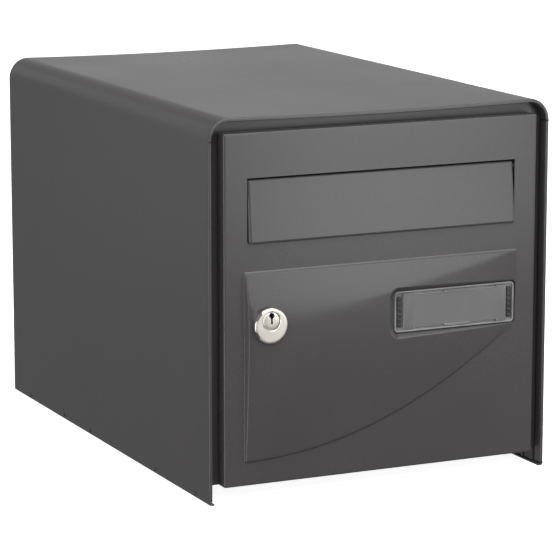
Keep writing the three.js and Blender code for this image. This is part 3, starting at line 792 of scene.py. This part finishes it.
def pocket_level(x, z):
    """The y of the label pocket, behind the door's face inside it and rising in front of it around it."""
    from_x = x - (label_low.x + label_high.x) / 2
    from_z = z - (label_low.z + label_high.z) / 2
    past_x = abs(from_x) - (label_high.x - label_low.x) / 2 - POCKET_MARGIN + POCKET_CORNER
    past_z = abs(from_z) - (label_high.z - label_low.z) / 2 - POCKET_MARGIN + POCKET_CORNER
    over_x, over_z = max(past_x, 0.0), max(past_z, 0.0)
    outside = math.hypot(over_x, over_z) + min(max(past_x, past_z), 0) - POCKET_CORNER
    if outside < 0:
        return POCKET_DEPTH * min(1.0, -outside / POCKET_WALL)
    lean_x = POCKET_LEANS["left" if from_x < 0 else "right"]
    lean_z = POCKET_LEANS["bottom" if from_z < 0 else "top"]
    return -outside * (lean_x * over_x + lean_z * over_z) / (over_x + over_z)


def door_face(x, z):
    """The y of the door's front at (x, z)."""
    return DOOR_FACE + soft_max(-field_height(x, z), pocket_level(x, z), FACE_BLEND)


def door_columns():
    """Columns of the door's grid, close together at the field's left wall and at the ends of the pocket."""
    wall_end = FIELD_LEFT + 2.6 * MM
    pocket_left = label_low.x - POCKET_MARGIN
    pocket_right = label_high.x + POCKET_MARGIN
    return ruled(
        DOOR_BEND - DOOR_HALF_WIDTH,
        (DOOR_BEND - DOOR_HALF_WIDTH + FLAT_RIM, 1),
        (FIELD_LEFT, 4),
        (wall_end, 14),
        (-SLOT_HALF_WIDTH, 1),
        (pocket_left - 7 * MM, 28),
        (pocket_left + 0.4 * MM, 27),
        (pocket_left + 3 * MM, 6),
        (pocket_right - 2.95 * MM, 26),
        (SLOT_HALF_WIDTH, 3),
        (pocket_right + 1.5 * MM, 13),
        (DOOR_HALF_WIDTH - DOOR_BEND - FLAT_RIM, 5),
        (DOOR_HALF_WIDTH - DOOR_BEND, 1),
    )


def door_rows(x):
    """Rows that follow the field's lower edge below the label, and run level above it."""
    level = label_low.z - 5 * MM
    crease = min(field_bottom(x), level - 3 * MM)
    bottom = DOOR_BOTTOM + DOOR_BEND
    pocket_bottom = label_low.z - POCKET_MARGIN
    pocket_top = label_high.z + POCKET_MARGIN
    steps, closeness = 9, 1.8
    below = [
        crease - (crease - bottom - FLAT_RIM) * (i / steps) ** closeness for i in range(steps, -1, -1)
    ]
    return [bottom] + below + ruled(
        crease,
        (crease + FIELD_STEP_WIDTH, 4),
        (level, 16, 1.6),
        (pocket_bottom - 3 * MM, 2),
        (pocket_bottom + 0.4 * MM, 14),
        (pocket_bottom + 3 * MM, 6),
        (pocket_top - 3 * MM, 6),
        (pocket_top - 0.4 * MM, 6),
        (pocket_top + 4 * MM, 18),
        (FIELD_TOP - 5 * MM, 6),
        (FIELD_TOP - FIELD_LIP_WIDTH, 4),
        (FIELD_TOP, 8),
        (FIELD_TOP + 1 * MM, 2),
        (SLOT_BOTTOM, 6),
        (SLOT_TOP, 12),
        (DOOR_TOP - DOOR_BEND - FLAT_RIM, 8),
        (DOOR_TOP - DOOR_BEND, 1),
    )[1:]


def in_slot(x, z):
    return abs(x) < SLOT_HALF_WIDTH and SLOT_BOTTOM < z < SLOT_TOP


def make_door():
    tray = pan(
        door_columns(),
        door_rows,
        door_face,
        lambda x, z, side: DOOR_FACE + DOOR_DEPTH,
        DOOR_BEND,
        DOOR_SHEET,
        in_slot,
    )
    # in the right-hand return, a notch for each hinge bracket, and above and below a bore for its bush
    margin = 0.1 * MM
    notch_in = DOOR_HALF_WIDTH - DOOR_SHEET - 0.5 * MM
    notch_out = DOOR_HALF_WIDTH + 1 * MM
    notch_front = DOOR_FACE + DOOR_BEND + margin
    notch_back = DOOR_FACE + DOOR_DEPTH + 1 * MM
    cutters = []
    for z, end in ((DOOR_TOP, DOOR_TOP - HINGE_NOTCH), (DOOR_BOTTOM, DOOR_BOTTOM + HINGE_NOTCH)):
        inside = z - math.copysign(DOOR_BEND + margin, z)
        low = (notch_in, notch_front, min(inside, end))
        high = (notch_out, notch_back, max(inside, end))
        cutters.append(block(low, high))
        bore = [
            [(HINGE_X + a, HINGE_Y + b, z + rise) for a, b in wheel(BUSH_BORE, 32)]
            for rise in (-3 * MM, 3 * MM)
        ]
        cutters.append(loft(bore, capped=True))
    front, back = DOOR_FACE - 20 * MM, DOOR_FACE + 5 * MM
    cutters.append(turned([(LOCK_BORE, front), (LOCK_BORE, back)], LOCK_X, LOCK_Z, 48))
    finished("door_skin", cut(tray, cutters), "door", finishes["door_coat"], "door_panel", DOOR_SHARP_ANGLE)


def make_flap():
    """The tilted plate in the slot, with a short return below and cheeks that reach back to the rod."""
    bend = 1.8 * MM
    wider = 0.4 * MM  # than the CAD's flap, on each side
    half = flap_high.x + wider - bend
    top = flap_high.z
    bottom = flap_low.z
    top_y = DOOR_FACE + 1.4 * MM
    bottom_y = flap_low.y
    tilt = (top_y - bottom_y) / (top - bottom)
    bottom_end = DOOR_FACE - 0.4 * MM
    top_end = DOOR_FACE + 8 * MM
    # the cheeks' rear edge: heights, and how far behind the door's face it is there, in mm
    cheek = (
        (51.6, -0.4), (53.4, -0.4), (54, 2.0), (80, 2.4), (90.5, 7.5), (92.6, 9.8), (97.6, 9.8), (99.9, 8.4),
    )

    def face(x, z):
        return bottom_y + (z - bottom) * tilt

    def end_at(x, z, side):
        if side == "bottom":
            return bottom_end
        if side == "top":
            return top_end
        for (z0, y0), (z1, y1) in zip(cheek, cheek[1:]):
            if z <= z1 * MM:
                share = max(0.0, (z / MM - z0) / (z1 - z0))
                return DOOR_FACE + (y0 + (y1 - y0) * share) * MM
        return top_end

    rows = sorted({
        bottom + bend, bottom + bend + FLAT_RIM, top - bend - FLAT_RIM, top - bend, 60 * MM, 70 * MM, 85 * MM,
        *(z * MM for z, _ in cheek[2:-1]),
    })
    columns = ruled(-half, (FLAT_RIM - half, 1), (half - FLAT_RIM, 22), (half, 1))
    tray = pan(columns, lambda x: rows, face, end_at, bend, SHEET)
    finished("flap_plate", tray, "flap", finishes["door_coat"], "mail_flap")


# ---------------------------------------------------------------- lock


def make_rosette():
    """The plate round the plug: a rounded rim, a hole above its middle, and two notches in its left side."""
    front, back = rosette_low.y, rosette_high.y
    radius = (rosette_high.x - rosette_low.x) / 2
    edge = 0.2 * MM
    bevel = 1.7 * MM
    hole_edge = 0.3 * MM
    skirt = radius - 1 * MM
    skirt_end = back + 1.8 * MM
    rim = [
        (skirt, skirt_end),
        (skirt, back - edge),
        (radius - edge, back - edge),
        (radius, back - 2 * edge),
        (radius, front + bevel),
    ]
    rim += [(radius - bevel * (1 - cosine), front + bevel * (1 - sine)) for cosine, sine in quarter(8)[1:]]
    rim.append((radius - bevel - 0.8 * MM, front))
    hole = [(PLUG_HOLE + hole_edge, front), (PLUG_HOLE, front + hole_edge), (PLUG_HOLE, skirt_end)]
    rings = [circle(LOCK_X, LOCK_Z, *row) for row in rim] + [circle(LOCK_X, PLUG_Z, *row) for row in hole]
    mesh = loft(rings, closed=True)
    notch = 1.9 * MM
    notch_profile = [(notch, front - 1 * MM), (notch, back + 3 * MM)]
    for start, end in ((134, 153), (203, 215)):  # degrees round the rim
        for x, z in arc(LOCK_X, LOCK_Z, radius + 0.3 * MM, start, end, 3):
            mesh = cut(mesh, [turned(notch_profile, x, z, 32)])
    finished("lock_rose", mesh, "door", finishes["nickel"], "lock_rosette")


def make_plug():
    """The turning plug: a slightly domed face with the keyhole, on a plain shank."""
    front, back = plug_low.y, plug_high.y
    face = (plug_high.x - plug_low.x) / 2
    shoulder = front + 3.1 * MM
    shank = 5.5 * MM
    profile = [
        (NEAR_AXIS, front),
        (face - 3 * MM, front + 0.04 * MM),
        (face - 1.2 * MM, front + 0.14 * MM),
        (face - 0.5 * MM, front + 0.3 * MM),
        (face, front + 0.8 * MM),
        (face, shoulder),
        (shank, shoulder),
        (shank, back),
        (NEAR_AXIS, back),
    ]
    ahead = front - 1 * MM
    depth = front + 9 * MM
    bow = 2.2 * MM
    bow_z = PLUG_Z + 4.3 * MM
    slit = 0.75 * MM
    thread = 2.3 * MM
    cutters = [
        turned([(bow, ahead), (bow, depth)], LOCK_X, bow_z, 32),
        block((LOCK_X - slit, ahead, PLUG_Z - 2.1 * MM), (LOCK_X + slit, depth, bow_z)),
        turned([(thread, back - 8 * MM), (thread, back + 1 * MM)], LOCK_X, PLUG_Z, 24),
    ]
    mesh = turned(profile, LOCK_X, PLUG_Z, 96)
    for cutter in cutters:
        mesh = cut(mesh, [cutter])
    piece = finished("lock_cylinder", mesh, "lock_core", finishes["nickel"], "lock_plug")
    # the keyhole's walls are dark: the black nylon look painted on them as the shade in the deep keyway
    piece.data.materials.append(finishes["black_nylon"])
    for polygon in piece.data.polygons:
        middle = polygon.center
        aside = math.hypot(middle.x - LOCK_X, middle.z - PLUG_Z)
        if aside < face - 0.4 * MM and front + 1 * MM < middle.y < depth + 0.1 * MM:
            polygon.material_index = 1


# ---------------------------------------------------------------- name label


def slab(x0, x1, z0, z1, y0, y1, radius, edge):
    """A flat plate with rounded corners and softened front and back edges."""
    rings = []
    for y, inset in ((y1, edge), (y1 - edge, 0), (y0 + edge, 0), (y0 + edge * 0.3, edge * 0.3), (y0, edge)):
        corner = radius - inset
        outline = rounded_outline(x0 + inset, x1 - inset, z0 + inset, z1 - inset, corner, corner, 1, 6)
        rings.append(at_depth(outline, y))
    return loft(rings, capped=True)


def slab_of(low, high, radius, edge):
    """A slab that fills a box."""
    return slab(low.x, high.x, low.z, high.z, low.y, high.y, radius, edge)


def make_label():
    """The tray with its tabs and clips, the window over it and the blank card behind."""
    x0, x1 = label_low.x, label_high.x
    z0, z1 = label_low.z, label_high.z
    front, back = label_low.y, label_high.y
    tray_floor = front + 1.8 * MM
    rim = 1.5 * MM
    radius = 3 * MM

    def outline(inset):
        corner = max(radius - inset, 0.4 * MM)
        return rounded_outline(x0 + inset, x1 - inset, z0 + inset, z1 - inset, corner, corner, 1, 8)

    edge = 0.35 * MM
    rings = [
        at_depth(outline(0), back),
        at_depth(outline(0), front + edge),
        at_depth(outline(edge * 0.3), front + edge * 0.3),
        at_depth(outline(edge), front),
        at_depth(outline(rim - edge), front),
        at_depth(outline(rim - edge * 0.3), front + edge * 0.3),
        at_depth(outline(rim), front + edge),
        at_depth(outline(rim + 0.1 * MM), tray_floor - 0.2 * MM),
    ]
    # along its top and bottom the window is cut back between two small tabs, and clips hold it in the middle
    slot_left, slot_right = x0 + 17 * MM, x0 + 89 * MM
    slot_deep = 1.5 * MM
    tab_front, clip_front = window_low.y - 0.3 * MM, window_low.y - 0.25 * MM
    tabs = [(left, left + 1 * MM, 0.1, 1.7, tab_front, 0.3 * MM) for left in (slot_left - 1 * MM, slot_right)]
    clips = [
        (x0 + 43 * MM, x0 + 66 * MM, start, end, clip_front, 0.25 * MM)
        for start, end in ((0.25, 0.85), (1.15, 1.8))
    ]
    window = slab_of(window_low, window_high, 1.2 * MM, 0.25 * MM)
    shapes = [loft(rings, capped=True)]
    for z, inward in ((window_high.z, -1), (window_low.z, 1)):
        near, far = sorted((z - inward * 1 * MM, z + inward * slot_deep))
        window = cut(window, [block((slot_left, front - 2 * MM, near), (slot_right, back, far))])
        for left, right, start, end, ahead, corner in tabs + clips:
            low, high = sorted((z + inward * start * MM, z + inward * end * MM))
            shapes.append(slab(left, right, low, high, ahead, tray_floor, corner, 0.15 * MM))
    finished("label_tray", joined(shapes), "door", label_frame_look, "label_holder")
    finished("label_pane", window, "door", finishes["smoked_plastic"], "label_window")
    card = slab_of(card_low, card_high, 0.5 * MM, 0.05 * MM)
    finished("label_insert", card, "door", finishes["grey_card"], "label_card")


def make_grip(node):
    """A strip of rounded ribs at one end of the label."""
    low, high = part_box(node)
    ribs = 6
    pitch = (high.z - low.z) / ribs
    half = pitch * 0.28
    shapes = [slab(low.x, high.x, low.z, high.z, high.y - 1 * MM, high.y, 0.5 * MM, 0.1 * MM)]
    for i in range(ribs):
        middle = low.z + pitch * (i + 0.5)
        z0, z1 = middle - half, middle + half
        shapes.append(slab(low.x, high.x, z0, z1, low.y, high.y - 0.9 * MM, half * 0.9, half * 0.45))
    finished(node.replace("label_grip", "grip"), joined(shapes), "door", finishes["black_nylon"], node)


# ---------------------------------------------------------------- CAD nodes that stay


def soften(node, width):
    """Rounds a CAD node's edges by modifiers and leaves its mesh alone."""
    weld = node.modifiers.new("weld", "WELD")
    weld.merge_threshold = 0.001 * MM
    bevel = node.modifiers.new("edges", "BEVEL")
    bevel.width = width
    bevel.segments = 2
    bevel.limit_method = "ANGLE"
    bevel.angle_limit = math.radians(40)
    normals = node.modifiers.new("normals", "WEIGHTED_NORMAL")
    normals.keep_sharp = True


def dress_nodes():
    for name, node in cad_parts.items():
        node.material_slots[0].material = finishes[slots[name]]
        soften(node, 0.2 * MM)


# ---------------------------------------------------------------- studio


def make_camera():
    camera = bpy.data.objects.new("camera", bpy.data.cameras.new("camera"))
    camera.data.lens = CAMERA_LENS
    camera.data.clip_end = 100
    camera.location = CAMERA_PLACE
    camera.rotation_euler = (math.radians(90 - CAMERA_DOWN), 0, math.radians(-CAMERA_ROUND))
    bpy.context.scene.collection.objects.link(camera)
    bpy.context.scene.camera = camera


def make_floor():
    """A pale floor that curves up into a backdrop all round, seen by the camera and left out of the light."""
    # distances from the middle and heights, in metres
    profile = [(0.02, 0), (2, 0), (7, 0), (9, 0.12), (11, 0.6), (12.5, 1.6), (13.5, 3.2), (14, 6), (14, 12)]
    sides = 96
    mesh = loft([[(a, b, BOTTOM + height) for a, b in wheel(radius, sides)] for radius, height in profile])
    centre = bmesh.new()
    centre.from_mesh(mesh)
    centre.verts.ensure_lookup_table()
    centre.faces.new([centre.verts[i] for i in range(sides)])
    centre.to_mesh(mesh)
    centre.free()
    mesh.polygons.foreach_set("use_smooth", [True] * len(mesh.polygons))
    floor = bpy.data.objects.new("floor", mesh)
    bpy.context.scene.collection.objects.link(floor)
    n = Nodes("floor_look")
    cloud = n.noise(1.2, detail=2)
    n.finish(
        color=n.shades(cloud, (0.80, 0.80, 0.80), (0.82, 0.82, 0.82)),
        roughness=n.spread(cloud, 0.9, 1.0),
        Specular_IOR_Level=0.0,
        Emission_Color=(1, 1, 1, 1),
        Emission_Strength=0.9,
    )
    mesh.materials.append(n.material)
    floor.visible_glossy = False
    floor.visible_diffuse = False
    floor.visible_transmission = False
    floor.visible_shadow = False


def make_light(name, place, aim, size, power):
    data = bpy.data.lights.new(name, "AREA")
    data.shape = "RECTANGLE"
    data.size, data.size_y = size
    data.energy = power
    data.color = LIGHT_COLOR
    light = bpy.data.objects.new(name, data)
    light.location = place
    light.rotation_euler = (Vector(aim) - Vector(place)).to_track_quat("-Z", "Y").to_euler()
    light.visible_camera = False
    bpy.context.scene.collection.objects.link(light)


def make_world():
    """Plain, even studio surroundings."""
    world = bpy.data.worlds.new("studio")
    world.use_nodes = True
    bpy.context.scene.world = world
    background = next(node for node in world.node_tree.nodes if node.type == "BACKGROUND")
    background.inputs["Color"].default_value = (1, 1, 1, 1)
    background.inputs["Strength"].default_value = WORLD_STRENGTH


def make_studio():
    """Soft lights. The last two fill the views that the photograph doesn't show."""
    make_world()
    make_floor()
    for light in LIGHTS:
        make_light(*light)
    bpy.context.scene.view_settings.view_transform = "Standard"


# ---------------------------------------------------------------- assembly

make_camera()
dress_nodes()
make_hood()
for name in sorted(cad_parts):
    if name.startswith("hood_rivet"):
        make_rivet(name)
    elif name.startswith("label_grip"):
        make_grip(name)
make_front_frame()
make_door()
make_flap()
make_rosette()
make_plug()
make_label()
make_studio()
